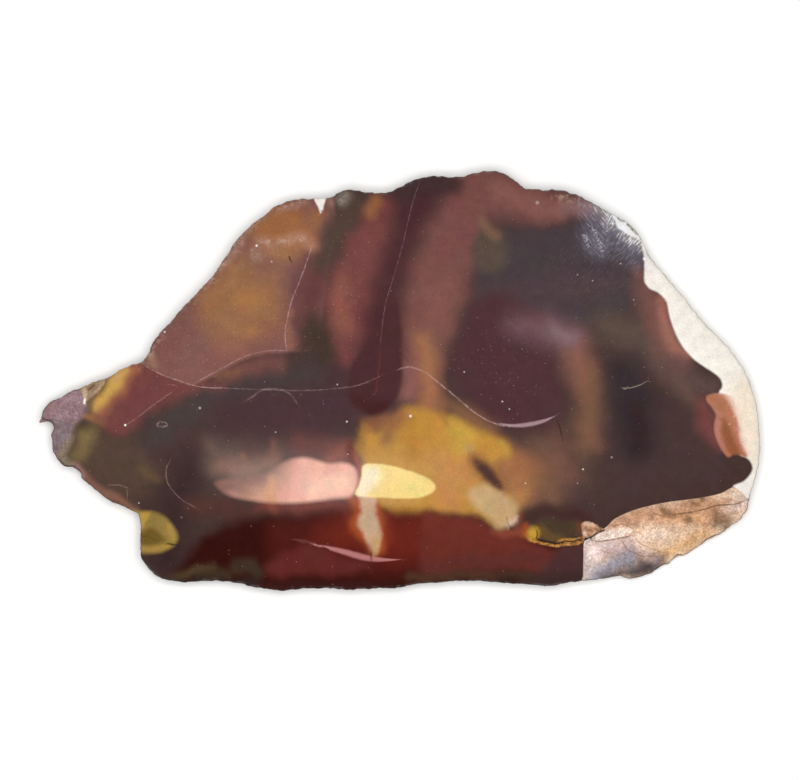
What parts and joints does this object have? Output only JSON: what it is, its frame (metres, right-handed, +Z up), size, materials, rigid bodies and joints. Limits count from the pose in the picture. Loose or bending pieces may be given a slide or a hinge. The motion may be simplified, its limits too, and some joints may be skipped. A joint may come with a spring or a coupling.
{
  "type": "mookaite jasper slab",
  "caption": "Irregular slab of polished jasper with a low domed face, a broken rim, an unpolished ledge at one corner and a flat sawn back that it lies on.",
  "frame": {"origin": "on the sawn back, under the middle of the slab's bounding box", "axes": "+X along the slab's length, towards its broad end; +Y across the face, towards its crest; +Z up out of the polished face"},
  "size_m": [0.115, 0.0672, 0.0088],
  "materials": {
    "polished_jasper": "polished"
  },
  "bodies": {
    "root": {"jasper_slab": "polished_jasper"}
  },
  "joints": []
}
